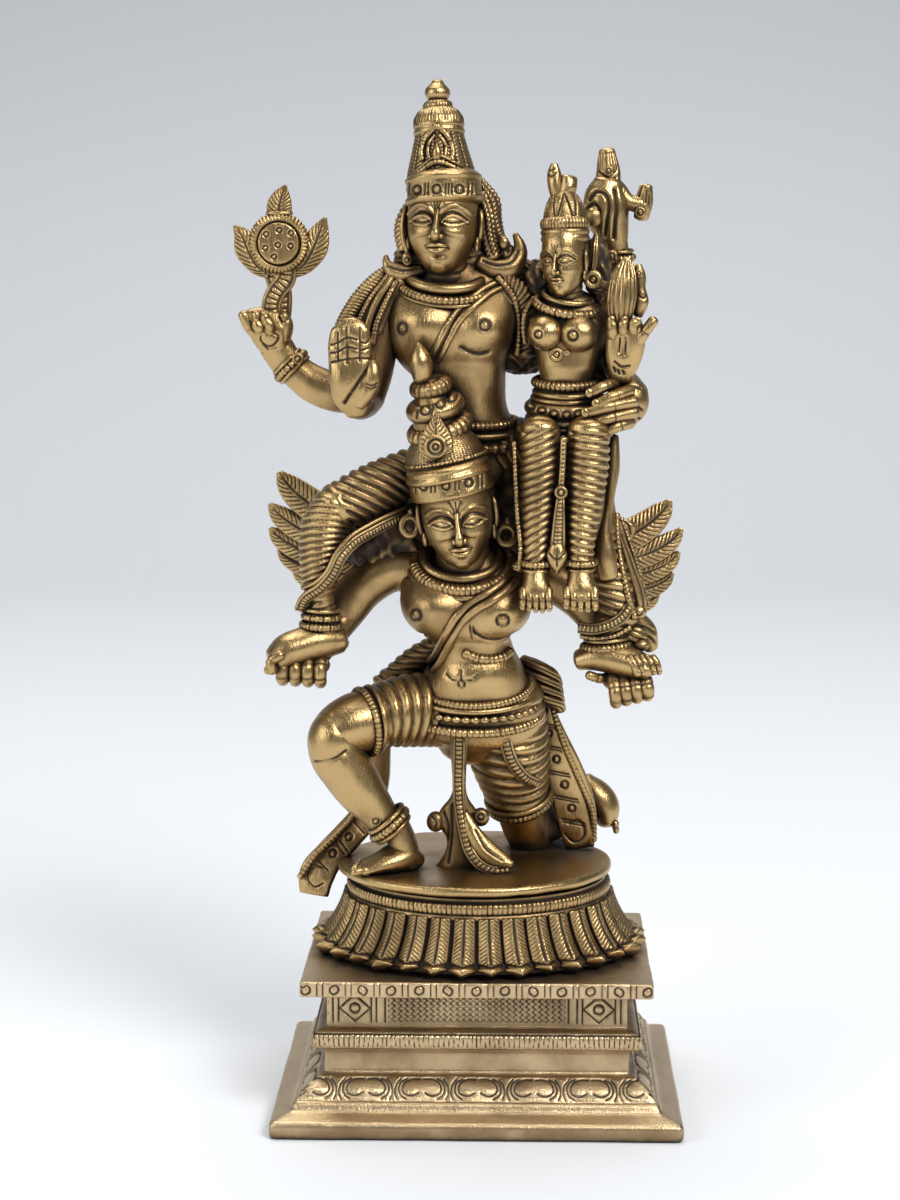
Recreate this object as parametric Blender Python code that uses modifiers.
"""Cast brass statue: a four-armed god with his consort, carried on the shoulders of a kneeling, winged bearer.

Two castings. `figure_group` is the three figures and the oval seat under them, cast as one.
`lotus_plinth` is the stepped rectangular plinth with its ring of lotus petals, and the seat rests on it.

+Z is up, -Y is the front, and the origin is at the middle of the plinth's underside.
The plinth and the seat have real sizes. The figures are a free form: their tables are in parts of the group's
height, measured from the floor of a drawing whose seat line and group height stand below.
"""

import math

import bmesh
import bpy
from mathutils import Euler, Vector

MM = 0.001

# Plinth, from the floor up: overall size, then the height of each course
PLINTH_WIDTH = 80.0 * MM
PLINTH_DEPTH = 65.6 * MM
PLATE_HEIGHT = 3.4 * MM
SLOPE_HEIGHT = 1.3 * MM
STEP_HEIGHT = 1.4 * MM
CYMA_HEIGHT = 4.1 * MM
BAND_HEIGHT = 5.4 * MM
LEDGE_HEIGHT = 3.9 * MM
DADO_HEIGHT = 7.1 * MM
SLAB_HEIGHT = 3.1 * MM

# How far each course stands in from the plate's edge
STEP_INSET = 4.3 * MM
CYMA_TOP_INSET = 9.0 * MM
BAND_INSET = 10.3 * MM
LEDGE_INSET = 7.9 * MM
DADO_INSET = 10.8 * MM
SLAB_INSET = 5.8 * MM

# Lotus: the petal tips stand in from the slab's edge, and the cord ring crowns them
PETAL_COUNT = 32
PETAL_MARGIN = 0.8 * MM
PETAL_FLARE = 6.8 * MM
PETAL_RELIEF = 0.55 * MM
PETAL_LIFT = 0.9 * MM
LOTUS_HEIGHT = 11.8 * MM
RING_HEIGHT = 4.1 * MM
RING_INSET = 0.6 * MM

# Seat: the oval plate of the figure group
SEAT_OVERHANG = 1.0 * MM
SEAT_THICKNESS = 2.1 * MM
SEAT_EDGE = 0.35 * MM
REST_GAP = 0.3 * MM
SEAT_SHIFT = -0.8 * MM
SEAT_SEGMENTS = 36

# Figures: the group's height above the seat, and the drawing's own seat line and group height, in parts
GROUP_HEIGHT = 154.3 * MM
DRAWN_SEAT_LINE = 48.0
DRAWN_GROUP_HEIGHT = 154.3
PART = GROUP_HEIGHT / DRAWN_GROUP_HEIGHT

FUSE_GRAIN = 0.55 * MM
FACET_SHARE = 0.027
PLEAT_DEPTH = 0.8
THIN_PLEAT_DEPTH = 0.55
LIMB_SIDES = 8
FLARE_CLEARANCE = 1.2 * MM

SLAB_TOP = (PLATE_HEIGHT + SLOPE_HEIGHT + STEP_HEIGHT + CYMA_HEIGHT + BAND_HEIGHT + LEDGE_HEIGHT
            + DADO_HEIGHT + SLAB_HEIGHT)
RING_TOP = SLAB_TOP + LOTUS_HEIGHT + RING_HEIGHT
SEAT_TOP = RING_TOP + REST_GAP + SEAT_THICKNESS

TIP_HALF_WIDTH = PLINTH_WIDTH / 2 - SLAB_INSET - PETAL_MARGIN
TIP_HALF_DEPTH = PLINTH_DEPTH / 2 - SLAB_INSET - PETAL_MARGIN
RING_HALF_WIDTH = TIP_HALF_WIDTH - PETAL_FLARE
RING_HALF_DEPTH = TIP_HALF_DEPTH - PETAL_FLARE * 0.35
SEAT_HALF_WIDTH = RING_HALF_WIDTH + SEAT_OVERHANG
SEAT_HALF_DEPTH = RING_HALF_DEPTH + SEAT_OVERHANG

SIDE_X = Vector((1, 0, 0))
SIDE_Y = Vector((0, 1, 0))
SIDE_Z = Vector((0, 0, 1))


def clear_scene():
    """Empties the scene of its objects."""
    for thing in list(bpy.data.objects):
        bpy.data.objects.remove(thing, do_unlink=True)


def new_collection(name):
    """A collection of that name under the scene."""
    collection = bpy.data.collections.new(name)
    bpy.context.scene.collection.children.link(collection)
    return collection


def brass(name, colour, roughness):
    """A metal with the statue's colour."""
    material = bpy.data.materials.new(name)
    material.use_nodes = True
    shader = material.node_tree.nodes["Principled BSDF"]
    shader.inputs["Base Color"].default_value = (*colour, 1.0)
    shader.inputs["Metallic"].default_value = 1.0
    shader.inputs["Roughness"].default_value = roughness
    return material


def loft(shape, rings, first_pole=None, last_pole=None):
    """Adds a closed loft through rings of equal count, ended by a pole point or by a flat face at either end."""
    made = [[shape.verts.new(point) for point in ring] for ring in rings]
    count = len(rings[0])
    for low, high in zip(made, made[1:]):
        for i in range(count):
            j = (i + 1) % count
            shape.faces.new((low[i], low[j], high[j], high[i]))
    for ring, pole in ((made[0], first_pole), (made[-1], last_pole)):
        if pole is None:
            shape.faces.new(ring)
            continue
        tip = shape.verts.new(pole)
        for i in range(count):
            shape.faces.new((ring[i], ring[(i + 1) % count], tip))


def finished_object(name, shape, collection, material=None):
    """Makes the built shape an object with its faces pointing out, shaded smooth except over sharp edges."""
    bmesh.ops.recalc_face_normals(shape, faces=shape.faces[:])
    mesh = bpy.data.meshes.new(name)
    shape.to_mesh(mesh)
    shape.free()
    mesh.shade_smooth()
    mesh.set_sharp_from_angle(angle=math.radians(35))
    if material:
        mesh.materials.append(material)
    thing = bpy.data.objects.new(name, mesh)
    collection.objects.link(thing)
    return thing


def place(x, y, z):
    """A point of the drawing, in metres over the real seat."""
    return Vector((x * PART, y * PART, SEAT_TOP + (z - DRAWN_SEAT_LINE) * PART))


class Carving:
    """Collects the closed, overlapping shapes that are fused into one casting. Sizes are in parts of the drawing."""

    def __init__(self):
        self.shape = bmesh.new()

    def limb(self, stations, side=SIDE_X, sides=LIMB_SIDES, dome=0.6, pleats=0, fold=0.0, lean=0.0):
        """A lofted limb. A station is (x, y, z, half size along side, half size across it).

        With pleats, the loft is cut into that many folds, each `fold` deep, which slope by `lean`.
        """
        stations = [tuple(float(value) for value in station) for station in stations]
        if pleats:
            stations = folded(stations, pleats)
        centres = [place(*station[:3]) for station in stations]
        rings = []
        for i, (centre, station) in enumerate(zip(centres, stations)):
            along = (centres[min(i + 1, len(centres) - 1)] - centres[max(i - 1, 0)]).normalized()
            across = (side - along * side.dot(along)).normalized()
            outward = along.cross(across)
            cut = fold if pleats and i % 2 and 0 < i < len(stations) - 1 else 0.0
            half_a = max(station[3] - cut, 0.2) * PART
            half_b = max(station[4] - cut, 0.2) * PART
            ring = []
            for k in range(sides):
                turn = math.tau * (k + 0.5) / sides
                slope = lean * PART * math.cos(turn) * (0 < i < len(stations) - 1)
                ring.append(centre + across * half_a * math.cos(turn) + outward * half_b * math.sin(turn)
                            + along * slope)
            rings.append(ring)
        first = centres[0] - (centres[1] - centres[0]).normalized() * dome * min(stations[0][3:5]) * PART
        last = centres[-1] + (centres[-1] - centres[-2]).normalized() * dome * min(stations[-1][3:5]) * PART
        loft(self.shape, rings, first, last)

    def ball(self, centre, radii, turn=(0, 0, 0), segments=10, rings=6):
        """A sphere primitive, sized and turned into an egg."""
        made = bmesh.ops.create_uvsphere(self.shape, u_segments=segments, v_segments=rings, radius=1.0)
        rotation = Euler([math.radians(angle) for angle in turn]).to_matrix()
        middle = place(*centre)
        for vertex in made["verts"]:
            sized = Vector([value * radius * PART for value, radius in zip(vertex.co, radii)])
            vertex.co = middle + rotation @ sized

    def hoop(self, centre, radii, wire, turn=(0, 0, 0), around=16, sides=5):
        """A closed ring of wire, oval in its own plane, such as a belt, collar or earring."""
        rotation = Euler([math.radians(angle) for angle in turn]).to_matrix()
        middle = place(*centre)
        loops = []
        for i in range(around):
            angle = math.tau * i / around
            spoke = Vector((math.cos(angle), math.sin(angle), 0))
            loop = []
            for k in range(sides):
                roll = math.tau * (k + 0.5) / sides
                reach = Vector((spoke.x * (radii[0] + wire * math.cos(roll)),
                                spoke.y * (radii[1] + wire * math.cos(roll)), wire * math.sin(roll)))
                loop.append(self.shape.verts.new(middle + rotation @ (reach * PART)))
            loops.append(loop)
        for i, loop in enumerate(loops):
            following = loops[(i + 1) % around]
            for k in range(sides):
                self.shape.faces.new((loop[k], following[k], following[(k + 1) % sides], loop[(k + 1) % sides]))

    def turned(self, axis, profile, sides=10):
        """A form of round sections on a leaning axis: a crown, collar or bud. The profile is (height, radius) pairs."""
        (x0, y0, z0), (x1, y1, z1) = axis
        stations = []
        for height, radius in profile:
            share = (height - z0) / (z1 - z0)
            stations.append((x0 + (x1 - x0) * share, y0 + (y1 - y0) * share, height, radius, radius))
        self.limb(stations, sides=sides, dome=0.35)


def folded(stations, pleats):
    """The stations resampled evenly to twice as many as the pleats, plus one, on straight runs between them."""
    lengths = [0.0]
    for here, there in zip(stations, stations[1:]):
        lengths.append(lengths[-1] + math.dist(here[:3], there[:3]))
    finer = []
    for i in range(2 * pleats + 1):
        wanted = lengths[-1] * i / (2 * pleats)
        run = max(k for k in range(len(stations) - 1) if lengths[k] <= wanted + 1e-9)
        share = (wanted - lengths[run]) / (lengths[run + 1] - lengths[run])
        finer.append(tuple(a + (b - a) * share for a, b in zip(stations[run], stations[run + 1])))
    return finer


def mass(carving, *eggs):
    """Adds several eggs at once: cloth, hair and flesh that only show as shadowed bulk between the limbs."""
    for centre, radii in eggs:
        carving.ball(centre, radii)


def carve_bearer_body(carving):
    """The bearer's torso with its cords, and the bowed head under the coiled crown."""
    carving.limb([
        (-1.0, 1.5, 72.5, 8.5, 7.5), (-0.6, 0.5, 77, 13.4, 10.2), (-0.6, -0.5, 80.5, 13.2, 10.4),
        (-0.8, -1.8, 84, 11.2, 9.4), (-1.0, -2.8, 86.5, 8.9, 8.6), (-1.2, -3.2, 90.5, 7.3, 7.4),
        (-1.8, -4.0, 94.5, 8.0, 7.3), (-2.2, -4.6, 98, 10.8, 8.0), (-2.2, -4.2, 102.5, 12.4, 7.4),
        (-2.2, -3.6, 106.5, 11.8, 6.2), (-2.6, -4.4, 109, 5.4, 4.8)], sides=12)
    mass(carving, ((-8.2, -9.0, 100.4), (5.8, 3.4, 4.8)), ((4.0, -9.0, 100.0), (5.6, 3.4, 4.8)),
         ((7.0, 1.0, 124.0), (6.0, 5.0, 7.0)), ((-12.5, -0.5, 122.0), (5.0, 5.0, 6.0)),
         ((-15.5, 1.5, 112.0), (8.8, 6.0, 7.4)), ((9.5, 2.0, 112.5), (9.0, 6.0, 9.5)))
    carving.hoop((-1.2, -3.4, 91.2), (8.0, 7.7), 0.8, around=14, sides=4)
    carving.hoop((-0.8, -1.4, 83.0), (11.6, 9.9), 1.0, turn=(6, 0, 0), sides=4)
    carving.hoop((-0.6, -0.6, 78.0), (13.2, 10.4), 1.3, turn=(6, 0, 0), sides=4)
    carving.hoop((-2.6, -6.2, 107.4), (8.6, 5.8), 1.3, turn=(24, 0, 0), sides=5)
    carving.limb([(8.4, -7.6, 106.0, 1.0, 1.4), (3.2, -12.0, 102.6, 1.0, 1.4), (-2.2, -12.8, 98.6, 1.0, 1.4),
                  (-4.8, -11.6, 94.0, 1.0, 1.4), (-7.0, -9.6, 89.0, 1.0, 1.4)], sides=5)

    # Neck and bowed head, with its nose, ears and ear rings
    carving.limb([(-2.7, -5.5, 106, 5.0, 4.8), (-3.4, -7.6, 114, 5.4, 5.0)], dome=0.2)
    carving.limb([
        (-3.0, -13.6, 110.3, 2.2, 2.2), (-3.2, -12.8, 112.4, 4.5, 4.4), (-3.6, -11.4, 116, 6.6, 6.5),
        (-4.1, -10.4, 119.6, 7.6, 7.4), (-4.6, -9.6, 124, 8.0, 7.8), (-5.0, -8.8, 128, 7.4, 7.4)], sides=10)
    carving.limb([(-4.6, -17.4, 120.6, 0.8, 1.1), (-4.2, -18.8, 116.4, 1.1, 1.4), (-3.8, -19.2, 114.6, 1.5, 1.2)],
                 sides=6)
    mass(carving, ((-12.6, -7.0, 119.6), (2.0, 3.0, 4.4)), ((4.2, -6.6, 118.6), (2.0, 3.0, 4.4)),
         ((-13.2, -8.2, 116.4), (2.9, 2.0, 3.0)), ((5.6, -7.6, 115.6), (2.9, 2.0, 3.0)))

    # Crown: band, three coils, bud and front jewel
    carving.turned(((-5.0, -8.8, 123.5), (-9.6, -9.8, 146)), [
        (123.2, 7.8), (124.2, 8.9), (127.2, 9.0), (128.0, 8.2), (129.4, 8.9), (131.2, 8.1), (133.6, 6.4),
        (134.2, 6.9), (136.6, 6.9), (137.4, 5.2), (138.2, 6.0), (140.4, 6.0), (141.2, 4.2), (141.9, 4.9),
        (143.7, 4.9), (144.3, 3.1)], sides=12)
    carving.turned(((-10.0, -10.6, 143.5), (-11.4, -11.4, 151.6)), [
        (143.4, 1.7), (145.4, 2.6), (147.4, 2.4), (149.6, 1.3), (151.4, 0.4)], sides=8)
    carving.ball((-8.1, -15.4, 133.4), (2.9, 1.6, 3.4), turn=(-12, 0, 0), segments=8)


def carve_bearer_limbs(carving):
    """The bearer's bent right leg, kneeling left leg, and arms that bear the god's feet."""
    # Right leg: pleated thigh, knee, shin, anklet and foot
    carving.limb([(-5.5, -0.5, 78.4, 6.8, 7.4), (-14, -4.5, 79, 6.4, 7.2), (-22.2, -8.6, 77.4, 5.9, 6.5)],
                 side=SIDE_Z, pleats=7, fold=PLEAT_DEPTH, lean=0.7)
    carving.limb([(-20, -7.6, 77.4, 5.8, 6.2), (-25.6, -10.2, 76.0, 5.6, 5.9), (-28.8, -11.2, 74.0, 4.8, 5.0)],
                 side=SIDE_Z)
    carving.limb([(-28.4, -11.2, 75.2, 4.9, 5.0), (-28.2, -11.2, 71.0, 5.9, 5.4), (-24.8, -11.0, 65.5, 5.2, 5.2),
                  (-20.0, -10.6, 60, 3.9, 4.0), (-17.0, -10.4, 56.2, 3.1, 3.4)])
    carving.hoop((-17.4, -10.6, 57.0), (3.9, 4.0), 1.2, turn=(0, 24, 0), around=10, sides=4)
    carving.limb([(-16.8, -10.2, 58, 2.8, 3.2), (-14.8, -9.8, 53.5, 3.0, 3.6), (-13.8, -9.4, 49.4, 2.9, 3.8)])
    carving.limb([(-11.8, -8.4, 50.2, 2.4, 3.2), (-15, -10.2, 50.6, 3.2, 3.9), (-19.5, -11.6, 49.6, 2.2, 4.4),
                  (-23.6, -12.2, 48.9, 1.4, 4.2)], side=SIDE_Z, dome=0.5)

    # Left leg: pleated thigh, knee on the seat, shin and raised foot behind
    carving.limb([(5.4, 0.5, 79.5, 7.8, 8.4), (5.9, 2.4, 69, 8.2, 7.8), (7.1, 5.4, 62, 7.0, 6.8),
                  (8.2, 7.2, 57, 6.2, 6.2)], pleats=8, fold=PLEAT_DEPTH, lean=-0.7)
    carving.limb([(8.4, 7.0, 58.5, 5.6, 5.6), (9.8, 9.4, 52, 4.9, 5.2), (10.3, 10.6, 49.4, 4.3, 4.4)])
    carving.limb([(9.4, 9.0, 52.2, 4.6, 4.8), (14.5, 14.6, 53, 4.6, 4.8), (20.2, 18.8, 54.4, 3.6, 3.8),
                  (24.2, 20.2, 55.8, 3.4, 3.4)], side=SIDE_Z)
    carving.limb([(22.4, 20.4, 60.4, 2.4, 3.0), (24.6, 20.0, 57.4, 3.4, 4.0), (24.6, 19.4, 53.4, 2.8, 3.8),
                  (23.2, 19.0, 51.0, 1.8, 3.2)])

    # Arms
    carving.limb([(-10.5, -2.4, 105.5, 4.8, 4.8), (-16.5, -0.8, 106.0, 4.9, 5.0), (-22.5, -0.8, 102.8, 4.4, 4.8),
                  (-26.8, -2.2, 97.6, 3.8, 4.4)], side=SIDE_Y)
    carving.limb([(-26.4, -2.0, 98.4, 3.4, 3.7), (-29.6, -4.8, 94.2, 3.2, 3.2), (-32.4, -7.4, 91.0, 3.0, 2.9)],
                 side=SIDE_Y)
    carving.limb([(8.0, -2.4, 105.2, 4.8, 4.8), (13.5, -0.8, 104.6, 4.9, 5.0), (19.0, -0.8, 101.0, 4.4, 4.8),
                  (23.4, -2.2, 96.0, 3.8, 4.2)], side=SIDE_Y)
    carving.limb([(23.0, -1.8, 96.6, 3.4, 3.7), (26.0, -4.6, 91.6, 3.2, 3.2), (28.6, -6.6, 87.4, 3.0, 2.9)],
                 side=SIDE_Y)

    # Palms and fingers under the god's feet
    mass(carving, ((-34.4, -8.2, 88.8), (5.2, 3.2, 2.6)), ((29.0, -7.0, 86.0), (4.6, 3.2, 2.8)))
    for k in range(4):
        x = -30.8 - 2.2 * k
        carving.limb([(x, -9.6 - 0.3 * k, 89.6, 1.2, 1.3), (x + 0.3, -11.2 - 0.3 * k, 85.8, 1.1, 1.2)], sides=6)
        x = 26.0 + 2.3 * k
        carving.limb([(x, -9.0, 86.4, 1.2, 1.3), (x + 1.0, -9.6, 81.0 + 0.9 * k, 1.0, 1.1)], sides=6)


def carve_wings(carving):
    """Both wings of the bearer: feathers that fan out behind the shoulders and curl up at the tips."""
    wings = (
        ((-20.0, 8.0, 112.0), ((-40.0, 125.4), (-42.2, 120.4), (-42.4, 115.2), (-41.4, 110.2), (-38.8, 105.4))),
        ((18.0, 8.0, 108.0), ((38.4, 120.0), (40.6, 114.6), (40.2, 109.6), (39.0, 104.8), (36.4, 100.0))))
    for root, tips in wings:
        way = 1 if root[0] > 0 else -1
        for k, (x, z) in enumerate(tips):
            start = Vector((root[0], root[1], root[2] - 1.8 * k))
            bend = Vector((x - 5.0 * way, 12.6 - 0.4 * k, z - 7.2 + 0.6 * k))
            tip = Vector((x, 14.0 - 0.4 * k, z))
            blade = []
            for share, half in ((0.0, 2.2), (0.35, 2.7), (0.65, 2.7), (0.88, 2.0), (1.0, 0.9)):
                point = start * (1 - share) ** 2 + bend * 2 * share * (1 - share) + tip * share ** 2
                blade.append((*point, half, 1.1))
            carving.limb(blade, side=SIDE_Z, sides=6)
        carving.limb([(root[0] * 0.2, 3.5, 106, 4.5, 3.2), (root[0] * 0.7, 7.0, 107.5, 6.4, 2.8),
                      (root[0] * 1.25, 9.5, 107.0, 6.6, 2.0)], side=SIDE_Z)
    carving.limb([(26.6, 9.0, 109.5, 2.2, 1.8), (28.2, 9.6, 112.6, 2.3, 1.9), (29.1, 10.0, 115.0, 1.9, 1.8)], sides=6)


def carve_lord_body(carving):
    """The god's torso with its cords, and his head under the tall crown."""
    carving.limb([
        (-0.8, 4.6, 123, 9.0, 7.0), (-0.8, 4.2, 128, 9.8, 7.6), (-0.8, 3.2, 133, 8.6, 7.0),
        (-1.4, 1.8, 139, 6.6, 6.2), (-2.2, 0.8, 144, 7.4, 6.6), (-3.8, 0.2, 148.5, 10.2, 7.2),
        (-4.9, 0.0, 153, 12.6, 7.6), (-5.4, 0.4, 158.5, 13.4, 7.2), (-5.6, 1.0, 163, 12.4, 6.0),
        (-6.2, 0.6, 166, 6.4, 5.2)], sides=12)
    mass(carving, ((-10.8, -4.8, 155.6), (5.8, 3.2, 5.0)), ((1.2, -4.8, 155.2), (5.6, 3.2, 5.0)),
         ((7.5, 3.4, 156.0), (7.0, 4.6, 6.2)), ((10.0, 2.0, 131.0), (8.5, 6.0, 7.0)),
         ((8.2, 3.6, 150.4), (6.4, 4.4, 4.8)))
    carving.hoop((-6.4, -1.8, 163.8), (8.8, 6.2), 1.3, turn=(22, 0, 0), sides=5)
    carving.limb([(5.2, -4.2, 163.2, 1.0, 1.4), (0.2, -7.0, 159.8, 1.0, 1.4), (-3.4, -8.0, 155.0, 1.0, 1.4),
                  (-5.2, -7.4, 149.6, 1.0, 1.4)], sides=5)

    # Neck and head, with its nose, ears and side locks
    carving.limb([(-6.3, -0.4, 163, 4.6, 4.6), (-6.5, -2.2, 170, 4.8, 4.6)], dome=0.2)
    carving.limb([
        (-7.6, -6.6, 167.0, 2.3, 2.3), (-7.3, -5.8, 169.2, 4.8, 4.6), (-6.9, -4.6, 172.2, 6.5, 6.4),
        (-6.6, -3.8, 175.4, 7.1, 7.2), (-6.6, -3.2, 179.4, 7.3, 7.3), (-6.8, -2.8, 183, 6.8, 6.8)], sides=10)
    carving.limb([(-8.2, -10.8, 177.0, 0.7, 0.9), (-8.5, -11.9, 173.6, 0.9, 1.2), (-8.5, -11.9, 172.4, 1.4, 1.0)],
                 sides=6)
    mass(carving, ((-6.6, 0.0, 173.5), (8.6, 5.0, 8.0)), ((-6.4, 0.2, 167.5), (11.0, 4.4, 5.0)),
         ((-15.0, -1.8, 174.6), (1.9, 2.6, 5.2)),
         ((-16.3, -2.6, 167.0), (2.1, 2.2, 2.4)), ((1.6, -1.2, 174.2), (2.0, 2.6, 5.2)),
         ((3.6, -2.2, 167.2), (2.6, 2.2, 2.6)))
    carving.limb([(-0.6, 0.6, 182.8, 1.4, 2.0), (1.6, 0.8, 178, 2.1, 2.2), (3.2, 1.2, 172.6, 2.4, 2.4),
                  (6.0, 1.2, 168.4, 3.0, 2.6), (8.6, 1.0, 165.6, 2.8, 2.6)], sides=6)
    carving.limb([(7.4, 0.4, 168.6, 1.6, 1.6), (7.6, 0.4, 171.2, 1.3, 1.3), (6.4, 0.4, 173.4, 0.8, 0.9)], sides=6)

    # Crown: beaded band, fluted cone with a leaf, upper collar and bud
    carving.turned(((-6.8, -2.8, 179), (-8.1, -1.4, 199)), [
        (178.8, 7.4), (179.6, 7.9), (183.2, 7.6), (184.4, 6.7), (188, 5.8), (191.4, 5.0), (191.8, 4.8),
        (192.6, 5.0), (194.8, 4.7), (196.4, 3.8), (197.0, 3.0), (198.0, 2.8), (198.6, 1.9)], sides=12)
    carving.turned(((-8.1, -1.4, 198.6), (-8.4, -1.4, 202.3)), [
        (198.4, 1.6), (199.4, 2.4), (200.6, 2.2), (202.0, 0.9)], sides=8)
    carving.limb([(-7.6, -9.0, 184.4, 2.6, 0.9), (-7.8, -8.6, 188, 2.3, 0.9), (-8.0, -7.0, 192, 0.7, 0.6)], sides=6)


def carve_lord_right_arms(carving):
    """The god's blessing front hand, and the rear hand that holds up the flaming discus."""
    carving.limb([(-16.4, 0.6, 162.0, 4.0, 4.4), (-19.2, 0.2, 155, 4.2, 4.4), (-20.7, -1.0, 147, 3.9, 4.0),
                  (-21.9, -2.0, 141.0, 3.7, 3.6)])
    carving.limb([(-22.0, -1.0, 140.6, 3.5, 3.4), (-23.2, -6.6, 140.2, 3.2, 3.0), (-23.8, -10.8, 141.2, 3.0, 2.8)])
    carving.limb([(-23.4, -12.0, 138.4, 2.6, 2.2), (-24.0, -12.8, 142.5, 4.4, 2.5), (-24.6, -13.4, 147.4, 4.3, 2.2),
                  (-24.6, -13.6, 153, 4.2, 1.7), (-24.4, -13.4, 156.4, 3.2, 1.2)])
    carving.limb([(-21.8, -13.6, 141.6, 1.7, 1.5), (-20.2, -13.8, 145.0, 1.5, 1.4), (-19.9, -13.6, 148.0, 1.2, 1.1)],
                 sides=6)
    carving.limb([(-13.5, 2.8, 162.0, 4.4, 4.4), (-19.6, 2.4, 159.4, 4.2, 4.4), (-23.6, 2.8, 153.6, 3.9, 4.0),
                  (-26.0, 3.2, 146.6, 3.7, 3.8), (-26.4, 3.4, 142.2, 3.6, 3.6)], side=SIDE_Y)
    carving.limb([(-24.5, 3.6, 141.4, 3.6, 4.3), (-29.5, 3.8, 142.0, 3.6, 4.2), (-34.2, 4.0, 144.0, 3.2, 3.7),
                  (-38.6, 4.0, 148.0, 2.7, 3.3)], side=SIDE_Y)
    carving.hoop((-37.2, 4.0, 146.6), (3.5, 3.1), 0.9, turn=(0, -46, 0), around=10, sides=4)
    carving.ball((-41.3, 3.2, 152.0), (4.2, 2.9, 5.0), turn=(0, -28, 0), segments=8)
    carving.limb([(-43.2, 2.4, 150.6, 1.9, 1.8), (-45.4, 1.8, 154.0, 1.7, 1.6), (-46.9, 1.4, 157.0, 1.0, 1.0)],
                 sides=6)
    carving.limb([(-38.8, 2.6, 151.6, 1.6, 1.7), (-38.6, 1.8, 156.0, 1.4, 1.4)], sides=6)
    carving.ball((-43.0, 0.6, 155.2), (1.9, 1.7, 2.1), segments=8)

    # Discus: stem, notched disc and three flames
    carving.limb([(-40.2, 2.6, 155.4, 2.2, 1.7), (-39.7, 2.4, 160.6, 2.5, 1.7), (-39.3, 2.2, 166.4, 3.2, 1.6)],
                 sides=6)
    carving.limb([(-39.5, 3.8, 171.1, 5.2, 5.2), (-39.5, 3.0, 171.1, 6.0, 6.0), (-39.5, 1.2, 171.1, 6.0, 6.0),
                  (-39.5, 0.4, 171.1, 4.9, 4.9)], sides=14, dome=0.08)
    carving.limb([(-39.4, 2.2, 175.6, 2.4, 1.3), (-39.3, 2.2, 178.6, 2.5, 1.3), (-38.2, 2.0, 181.6, 0.8, 0.7)],
                 sides=6)
    carving.limb([(-43.2, 2.2, 165.8, 1.5, 1.2), (-45.4, 2.2, 168.8, 2.6, 1.3), (-46.4, 2.2, 172.0, 2.0, 1.1),
                  (-47.8, 2.0, 174.2, 0.6, 0.7)], sides=6)
    carving.limb([(-35.4, 2.2, 166.2, 1.5, 1.2), (-32.8, 2.2, 169.4, 2.8, 1.3), (-31.6, 2.2, 172.8, 2.3, 1.1),
                  (-30.2, 2.0, 175.8, 0.6, 0.7)], sides=6)


def carve_lord_left_arms(carving):
    """The god's rear hand with the flaming conch, and the front arm round his consort."""
    carving.limb([(3.6, 3.4, 161.0, 3.6, 4.2), (12, 7.0, 156.5, 3.4, 3.8), (21.0, 9.4, 153.6, 3.0, 3.4)], side=SIDE_Y)
    carving.limb([(20.4, 9.4, 152.6, 3.0, 3.0), (24.8, 9.4, 158, 2.8, 2.8), (27.6, 8.8, 165, 2.3, 2.3),
                  (27.4, 8.4, 171.0, 2.4, 2.4), (26.4, 8.2, 175.0, 2.6, 2.6)])
    carving.ball((25.0, 8.2, 178.6), (4.4, 4.0, 5.2), turn=(0, 20, 0))
    carving.limb([(25.2, 8.0, 182.4, 2.8, 2.2), (24.9, 8.0, 186.0, 2.3, 1.8), (24.6, 8.0, 189.2, 1.3, 1.2)], sides=6)
    carving.limb([(27.4, 8.0, 180.4, 2.2, 1.8), (30.2, 8.0, 179.0, 1.6, 1.5), (32.2, 8.0, 179.0, 1.7, 1.5)],
                 side=SIDE_Z, sides=6)
    carving.limb([(31.8, 8.0, 175.8, 1.5, 1.3), (32.2, 8.0, 179.0, 1.7, 1.4), (32.5, 8.0, 182.2, 1.2, 1.1)], sides=6)
    carving.limb([(5.0, 1.4, 159.5, 3.6, 4.2), (14, 3.6, 153.6, 3.4, 4.0), (24.0, 4.2, 148.2, 3.1, 3.6)], side=SIDE_Y)
    carving.limb([(23.0, 4.6, 147.8, 3.1, 3.2), (28.0, 0.6, 144, 3.0, 3.2), (29.6, -4.0, 141.8, 3.0, 3.4)],
                 side=SIDE_Z)
    carving.ball((28.4, -7.6, 140.4), (4.3, 4.0, 4.9), turn=(0, 14, 0))
    for k in range(4):
        carving.limb([(28.2 + 0.3 * k, -11.0, 142.4 - 2.2 * k, 1.2, 1.3),
                      (24.4 - 0.2 * k, -12.8, 141.2 - 2.2 * k, 1.2, 1.2),
                      (21.0 + 0.8 * k, -13.2, 139.6 - 2.0 * k, 1.1, 1.1)], side=SIDE_Z, sides=6)


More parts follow.
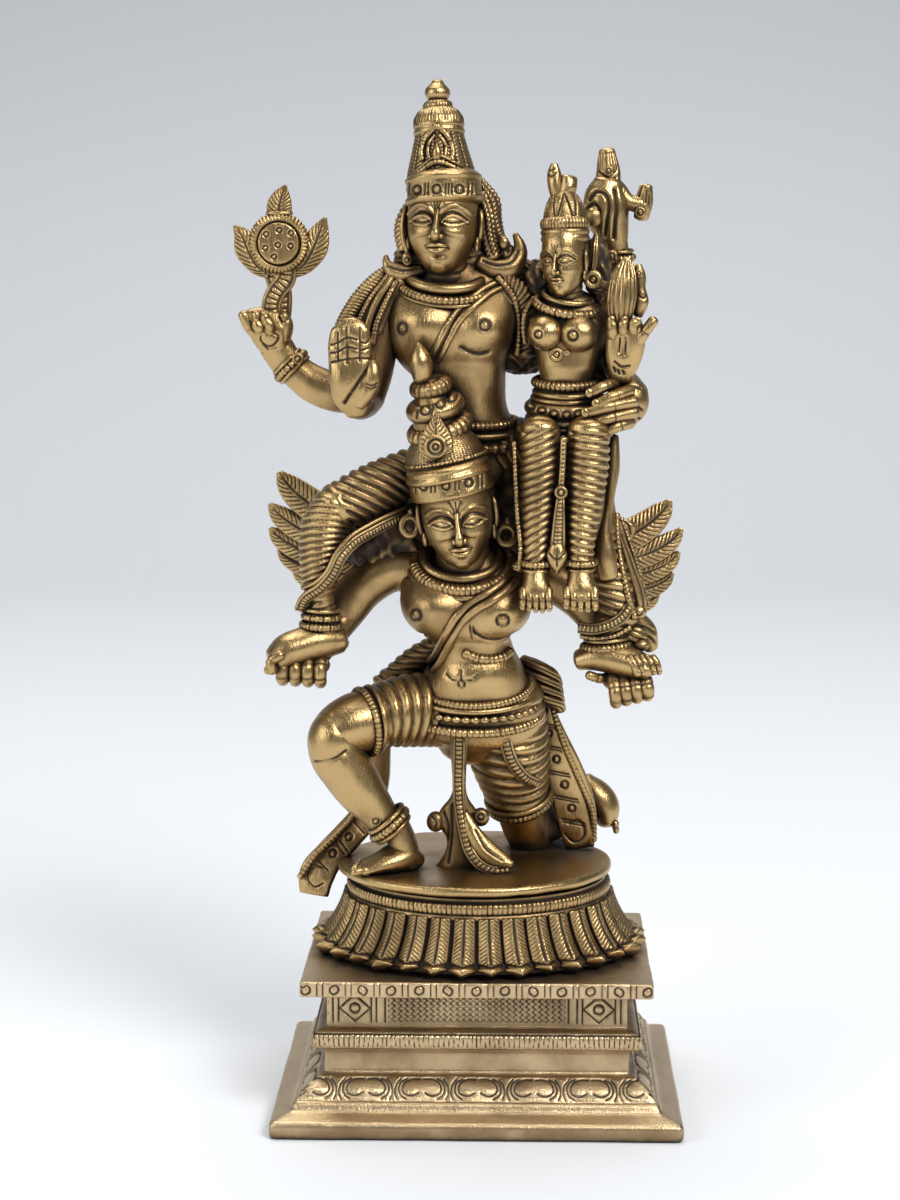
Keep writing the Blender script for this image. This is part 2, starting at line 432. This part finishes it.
def carve_lord_legs(carving):
    """The god's pleated legs, which hang in front of the bearer's arms with a foot in each of his hands."""
    # Right leg: thigh, shin, hem, anklet and foot
    carving.limb([(-5.0, 4.0, 127, 6.8, 7.0), (-15, -0.5, 125.2, 5.8, 6.4), (-22.5, -5.0, 122.4, 5.6, 5.8),
                  (-28.6, -7.4, 119.8, 5.0, 5.2)], side=SIDE_Z, pleats=10, fold=PLEAT_DEPTH, lean=1.0)
    carving.limb([(-29.6, -7.6, 121.0, 5.1, 5.2), (-30.3, -8.0, 115, 4.7, 4.9), (-31.2, -8.0, 109, 4.0, 4.4),
                  (-31.2, -8.0, 103, 3.2, 3.6)], pleats=9, fold=PLEAT_DEPTH, lean=0.8)
    carving.limb([(-13.0, -5.6, 118.6, 1.0, 1.3), (-20.5, -9.8, 115.8, 1.0, 1.3), (-25.2, -12.0, 113.0, 1.0, 1.3),
                  (-28.4, -12.4, 107.8, 1.0, 1.3), (-33.4, -11.2, 103.4, 1.0, 1.3)], sides=5)
    carving.limb([(-31.2, -8.0, 104.0, 3.0, 3.3), (-30.8, -8.0, 100.4, 2.7, 3.0), (-30.4, -8.0, 94.6, 3.3, 3.5)])
    carving.hoop((-30.9, -8.1, 97.3), (3.4, 3.6), 1.0, around=10, sides=4)
    carving.limb([(-27.8, -7.4, 94.0, 2.6, 3.2), (-31, -8.4, 93.4, 3.4, 3.8), (-35.8, -10.0, 91.8, 3.3, 3.8),
                  (-39.2, -11.0, 89.8, 3.0, 3.4)], side=SIDE_Z, dome=0.6)

    # Left leg, behind the consort's legs
    carving.limb([(4.0, 4.0, 130, 6.8, 7.4), (13, 1.8, 131, 6.0, 6.8), (21.4, -2.0, 130.4, 4.8, 5.2)],
                 side=SIDE_Z, pleats=7, fold=THIN_PLEAT_DEPTH, lean=-0.8)
    carving.limb([(22.2, -2.8, 131.0, 4.5, 5.0), (22.4, -4.2, 120, 4.2, 4.6), (24.6, -4.8, 110.5, 4.4, 4.4),
                  (27.4, -5.2, 101.5, 4.9, 4.2), (27.4, -5.4, 96.0, 3.9, 3.6)],
                 pleats=10, fold=THIN_PLEAT_DEPTH, lean=-0.8)
    carving.limb([(27.4, -5.4, 98.0, 3.4, 3.4), (25.4, -6.4, 91.6, 3.3, 3.4)])
    carving.hoop((25.6, -6.4, 93.6), (4.0, 3.8), 1.0, turn=(0, 8, 0), around=10, sides=4)
    carving.limb([(20.4, -6.6, 90.0, 2.2, 2.9), (25, -7.4, 90.8, 3.2, 3.8), (30.0, -8.6, 89.4, 2.8, 3.8),
                  (33.2, -9.2, 88.0, 1.9, 3.2)], side=SIDE_Z, dome=0.5)
    carving.limb([(29.6, -3.4, 96.6, 2.0, 2.2), (32.4, -2.4, 92.6, 2.3, 2.4), (34.0, -2.2, 91.0, 1.3, 1.5)], sides=6)


def carve_consort(carving):
    """The consort on the god's left thigh: torso, turned head with its crown, raised left hand and hanging legs."""
    carving.limb([
        (17.2, -3.8, 131.5, 8.2, 6.0), (17.2, -4.2, 134.5, 8.6, 6.6), (17.2, -4.4, 138.2, 8.2, 6.2),
        (17.2, -4.8, 141.4, 6.3, 5.2), (17.3, -5.0, 144.4, 5.4, 4.6), (17.5, -5.2, 148.5, 6.3, 4.9),
        (17.8, -5.2, 153, 7.7, 5.0), (18.0, -4.8, 157, 8.2, 4.4), (17.6, -4.8, 159.6, 4.6, 3.6)], sides=10)
    mass(carving, ((12.9, -9.0, 154.0), (3.4, 3.0, 3.4)), ((20.2, -9.4, 153.8), (3.7, 3.2, 3.7)),
         ((25.0, 0.0, 152.0), (4.0, 4.0, 7.0)))
    carving.hoop((17.2, -4.4, 136.6), (8.5, 6.5), 1.2, turn=(8, 0, 0), sides=4)
    carving.hoop((17.2, -4.8, 141.0), (6.7, 5.6), 0.9, turn=(6, 0, 0), around=14, sides=4)
    carving.hoop((17.2, -6.0, 158.6), (5.6, 4.2), 0.9, turn=(20, 8, 0), around=14, sides=4)

    # Neck, turned head and crown with its broken finial
    carving.limb([(17.4, -5.0, 158, 3.1, 3.0), (16.6, -6.2, 163.5, 3.4, 3.2)], dome=0.2)
    carving.limb([
        (15.5, -9.8, 161.6, 1.6, 1.6), (15.8, -9.0, 163.4, 3.0, 2.9), (16.3, -8.2, 166.4, 4.0, 4.2),
        (16.6, -7.6, 170, 4.3, 4.7), (16.6, -7.2, 173.6, 4.2, 4.6), (16.6, -7.0, 176, 3.9, 4.2)], sides=10)
    carving.limb([(14.6, -12.2, 170.0, 0.5, 0.7), (14.2, -13.2, 167.4, 0.7, 0.9)], sides=5)
    carving.turned(((16.6, -7.0, 172), (16.2, -6.6, 184)), [
        (172.6, 4.5), (173.4, 4.9), (175.6, 4.5), (176.2, 4.0), (179.4, 3.1), (180.8, 1.8), (181.6, 1.9)])
    carving.limb([(15.0, -7.0, 180.6, 1.6, 1.5), (14.4, -7.0, 183.6, 1.4, 1.4), (14.3, -7.0, 185.6, 1.0, 1.0)], sides=6)
    carving.limb([(16.4, -6.8, 180.6, 1.7, 1.6), (17.2, -6.6, 182.8, 1.8, 1.7), (17.3, -6.6, 184.0, 1.4, 1.3)], sides=6)
    mass(carving, ((21.0, -6.2, 168.8), (1.6, 2.4, 3.8)), ((21.6, -6.6, 163.4), (1.9, 1.7, 2.2)))

    # Arms, and the raised hand with its lotus bud
    carving.limb([(11.2, -3.0, 157.2, 2.5, 2.7), (9.4, -1.0, 152.4, 2.3, 2.5), (8.4, 1.6, 149.4, 2.2, 2.4)])
    carving.limb([(24.2, -3.4, 157.0, 2.6, 2.8), (26.0, -3.6, 151.6, 2.4, 2.6), (26.6, -4.2, 147.2, 2.3, 2.5)])
    carving.limb([(26.6, -3.8, 146.8, 2.3, 2.3), (27.4, -8.4, 147.2, 2.2, 2.2)])
    carving.limb([(27.6, -9.2, 146.0, 2.6, 2.2), (28.4, -10.8, 149.4, 3.8, 2.0), (28.7, -11.4, 153.0, 3.9, 1.9),
                  (28.4, -11.2, 156.2, 3.4, 1.7)])
    carving.limb([(30.8, -11.6, 153.2, 1.3, 1.2), (33.2, -12.0, 155.8, 1.0, 1.0)], side=SIDE_Y, sides=6)
    carving.limb([(27.4, -11.4, 155.4, 2.4, 1.9), (27.7, -11.6, 160.0, 3.1, 2.3), (28.1, -11.4, 164.6, 2.6, 1.9),
                  (28.5, -11.0, 167.0, 1.0, 1.0)])
    carving.limb([(31.0, -10.8, 156.6, 1.3, 1.3), (31.6, -10.6, 161.0, 1.4, 1.4), (31.9, -10.4, 165.0, 0.8, 0.9)],
                 sides=6)

    # Pleated legs and feet
    for knee, ankle, half, ankle_half in (((12.4, -12.4, 134.6), (11.0, -14.4, 108.6), 4.2, 2.6),
                                          ((21.4, -12.8, 134.8), (19.4, -14.6, 108.8), 4.4, 2.9)):
        lean = 0.4 if knee[0] < 17 else -0.4
        middle = [(knee[i] + ankle[i]) / 2 for i in range(3)]
        carving.limb([(knee[0] + 0.4, -2.0, 134.2, half, 4.2), (*knee, half, 4.2)], dome=0.5)
        carving.limb([(knee[0], knee[1], knee[2] + 1.0, half, half * 0.95), (*middle, half * 0.88, half * 0.84),
                      (*ankle, ankle_half, ankle_half)], pleats=11, fold=THIN_PLEAT_DEPTH, lean=lean)
        carving.limb([(ankle[0], ankle[1] + 0.4, ankle[2] + 0.4, ankle_half * 0.9, ankle_half * 0.9),
                      (ankle[0] + 0.1, ankle[1] - 1.4, ankle[2] - 3.4, ankle_half + 0.5, 2.2),
                      (ankle[0] + 0.1, ankle[1] - 3.0, ankle[2] - 6.4, ankle_half + 0.8, 1.3)])
    carving.limb([(16.4, -14.6, 134, 1.3, 1.2), (15.6, -15.4, 122, 1.4, 1.2), (15.3, -15.6, 113.4, 1.6, 1.4),
                  (15.3, -15.6, 109.6, 2.0, 1.5)], sides=6)
    mass(carving, ((16.0, -10.0, 122.0), (3.4, 3.6, 12.0)))


def carve_sashes(carving):
    """The cloth ends that join the figures to the seat: hip knots, side bands and the front tail."""
    mass(carving, ((-17.6, 4.6, 82.0), (4.6, 4.0, 4.2)), ((13.9, 5.0, 82.0), (4.0, 3.8, 4.2)))
    carving.limb([(-7.0, 3.4, 91.2, 2.2, 3.0), (-12.5, 4.4, 87.0, 2.4, 3.0), (-17.6, 4.8, 83.2, 2.4, 3.0)],
                 side=SIDE_Z, sides=6)

    # Left side: one broad band from the hip to the seat
    carving.limb([(12.8, 5.4, 80.0, 2.4, 2.0), (14.2, 6.2, 71, 3.9, 2.0), (17.0, 7.2, 63, 4.9, 2.0),
                  (19.4, 7.8, 57, 5.0, 1.9), (20.2, 8.0, 48.0, 4.4, 1.8)], sides=6)

    # Right side: a band that leaves the seat over its edge and hangs in front of the petals
    edge = (SEAT_HALF_WIDTH + FLARE_CLEARANCE) / PART
    tip = (TIP_HALF_WIDTH - PETAL_FLARE * 0.55 + FLARE_CLEARANCE) / PART
    carving.limb([(-18.2, 5.2, 80.0, 2.2, 2.0), (-20.4, 6.0, 68, 2.2, 2.0), (-21.4, 5.6, 60.0, 2.4, 2.0),
                  (-25.8, 4.0, 52.8, 2.6, 1.9), (-edge - 2.2, 2.0, 47.8, 2.8, 1.9), (-tip - 3.0, 0.8, 44.0, 3.6, 2.0),
                  (-tip - 2.4, 0.2, 40.8, 2.8, 1.7)], sides=6)

    # Front tail: two side folds and a curl on the seat
    carving.limb([(-3.4, -9.8, 76, 1.7, 1.3), (-3.9, -9.4, 66, 1.6, 1.3), (-3.2, -9.6, 58, 1.7, 1.3),
                  (-1.0, -11.0, 51.6, 1.8, 1.4)], sides=6)
    carving.limb([(-1.6, -10.8, 52.6, 1.5, 1.7), (1.2, -12.2, 49.6, 1.5, 1.8), (4.2, -12.8, 49.0, 1.4, 1.8)],
                 side=SIDE_Z, sides=6)
    carving.limb([(-3.8, -6.4, 67.5, 1.6, 1.2), (-3.6, -6.0, 61.4, 2.4, 1.4), (-3.6, -5.8, 58.2, 6.0, 1.7),
                  (-3.6, -5.8, 56.0, 5.6, 1.7), (-3.4, -5.8, 53.0, 3.2, 1.8), (-3.2, -5.6, 48.2, 4.2, 2.4)])
    carving.limb([(-3.4, -9.6, 70, 1.4, 1.2), (-3.8, -6.4, 66, 1.4, 1.2)], sides=6)


def oval_ring(half_width, half_depth, height):
    """The points of the seat's level oval."""
    turns = [math.tau * k / SEAT_SEGMENTS for k in range(SEAT_SEGMENTS)]
    return [Vector((SEAT_SHIFT + half_width * math.cos(turn), half_depth * math.sin(turn), height)) for turn in turns]


def make_seat(name, collection, material):
    """The oval seat: a thin plate with eased edges, which the figures are fused to."""
    low, high = RING_TOP + REST_GAP, SEAT_TOP
    rings = [oval_ring(SEAT_HALF_WIDTH - SEAT_EDGE, SEAT_HALF_DEPTH - SEAT_EDGE, low),
             oval_ring(SEAT_HALF_WIDTH, SEAT_HALF_DEPTH, low + SEAT_EDGE),
             oval_ring(SEAT_HALF_WIDTH, SEAT_HALF_DEPTH, high - SEAT_EDGE),
             oval_ring(SEAT_HALF_WIDTH - SEAT_EDGE, SEAT_HALF_DEPTH - SEAT_EDGE, high)]
    shape = bmesh.new()
    loft(shape, rings)
    return finished_object(name, shape, collection, material)


def plinth_courses():
    """(inset, height) pairs of the plinth's mouldings, from the floor to the slab's top."""
    z = PLATE_HEIGHT
    courses = [(0.35 * MM, 0.0), (0.0, 0.35 * MM), (0.0, z)]
    z += SLOPE_HEIGHT
    courses.append((STEP_INSET, z))
    z += STEP_HEIGHT
    courses.append((STEP_INSET + 0.3 * MM, z))
    for share in (0.25, 0.5, 0.75, 1.0):
        swell = math.sin(math.pi * share) * 0.12
        inset = STEP_INSET + (CYMA_TOP_INSET - STEP_INSET) * (share - swell)
        courses.append((inset, z + CYMA_HEIGHT * share))
    z += CYMA_HEIGHT
    courses.append((BAND_INSET, z + 0.3 * MM))
    z += BAND_HEIGHT
    courses += [(BAND_INSET, z), (LEDGE_INSET + 0.9 * MM, z + 0.4 * MM), (LEDGE_INSET, z + 0.45 * LEDGE_HEIGHT),
                (LEDGE_INSET + 0.4 * MM, z + 0.8 * LEDGE_HEIGHT)]
    z += LEDGE_HEIGHT
    courses.append((DADO_INSET, z))
    z += DADO_HEIGHT
    courses += [(DADO_INSET, z), (SLAB_INSET, z + 0.1 * MM), (SLAB_INSET, z + SLAB_HEIGHT - 0.3 * MM),
                (SLAB_INSET + 0.4 * MM, z + SLAB_HEIGHT)]
    return courses


def make_plinth(name, collection, material):
    """The stepped plinth: level rectangles of the courses, joined up."""
    rings = []
    for inset, height in plinth_courses():
        x, y = PLINTH_WIDTH / 2 - inset, PLINTH_DEPTH / 2 - inset
        rings.append([Vector((-x, -y, height)), Vector((x, -y, height)), Vector((x, y, height)),
                      Vector((-x, y, height))])
    shape = bmesh.new()
    loft(shape, rings)
    return finished_object(name, shape, collection, material)


def make_lotus(name, collection):
    """The lotus and its cord ring: oval rings whose radius rises on each petal and falls between petals.

    A row is (height over the slab, share of the flare from ring to tips, relief). At the lowest row of petals
    the tips hang lower and stand further out than the notches between them.
    """
    rows = [(-0.8 * MM, 0.62, 0.0), (PETAL_LIFT * 0.4, 0.7, 0.0), (PETAL_LIFT, 0.97, 1.6),
            (PETAL_LIFT + 1.6 * MM, 0.98, 1.3), (LOTUS_HEIGHT * 0.45, 0.62, 1.0), (LOTUS_HEIGHT * 0.75, 0.3, 0.8),
            (LOTUS_HEIGHT * 0.96, 0.04, 0.5), (LOTUS_HEIGHT, -0.12, 0.0), (LOTUS_HEIGHT + 0.4 * MM, 0.0, 0.0),
            (LOTUS_HEIGHT + RING_HEIGHT * 0.5, 0.06, 0.0), (LOTUS_HEIGHT + RING_HEIGHT * 0.88, 0.0, 0.0),
            (LOTUS_HEIGHT + RING_HEIGHT, -0.1, 0.0)]
    count = 2 * PETAL_COUNT
    rings = []
    for height, flare, relief in rows:
        ring = []
        for k in range(count):
            angle = math.tau * k / count
            ridge = 1.0 if k % 2 == 0 else -1.0
            swell = PETAL_RELIEF * relief * ridge
            half_x = RING_HALF_WIDTH + (TIP_HALF_WIDTH - RING_HALF_WIDTH) * flare - RING_INSET + swell
            half_y = RING_HALF_DEPTH + (TIP_HALF_DEPTH - RING_HALF_DEPTH) * flare - RING_INSET + swell
            lift = -0.45 * MM * ridge * (relief > 1.5)
            ring.append(Vector((half_x * math.cos(angle), half_y * math.sin(angle), SLAB_TOP + height + lift)))
        rings.append(ring)
    shape = bmesh.new()
    loft(shape, rings)
    return finished_object(name, shape, collection)


def fuse(target, addition):
    """Adds a Boolean union with another object, which is kept as a hidden helper."""
    union = target.modifiers.new("fuse", "BOOLEAN")
    union.operation = "UNION"
    union.solver = "EXACT"
    union.object = addition
    addition.hide_render = True
    addition.display_type = "WIRE"


def make_figures(name, collection):
    """The figures and their sashes, fused by a fine remesh and then faceted."""
    carving = Carving()
    for carve in (carve_bearer_body, carve_bearer_limbs, carve_wings, carve_lord_body, carve_lord_right_arms,
                  carve_lord_left_arms, carve_lord_legs, carve_consort, carve_sashes):
        carve(carving)
    figures = finished_object(name, carving.shape, collection)
    remesh = figures.modifiers.new("fuse_shapes", "REMESH")
    remesh.mode = "VOXEL"
    remesh.voxel_size = FUSE_GRAIN
    facets = figures.modifiers.new("facets", "DECIMATE")
    facets.ratio = FACET_SHARE
    return figures


def main():
    """Builds both castings."""
    clear_scene()
    statue = new_collection("winged_bearer_statue")
    helpers = new_collection("fused_shapes")

    polished = brass("polished_brass", (0.62, 0.44, 0.22), 0.34)
    group = make_seat("figure_group", statue, polished)
    fuse(group, make_figures("figures", helpers))

    pale = brass("pale_brass", (0.70, 0.56, 0.34), 0.38)
    plinth = make_plinth("lotus_plinth", statue, pale)
    fuse(plinth, make_lotus("lotus_petals", helpers))


main()
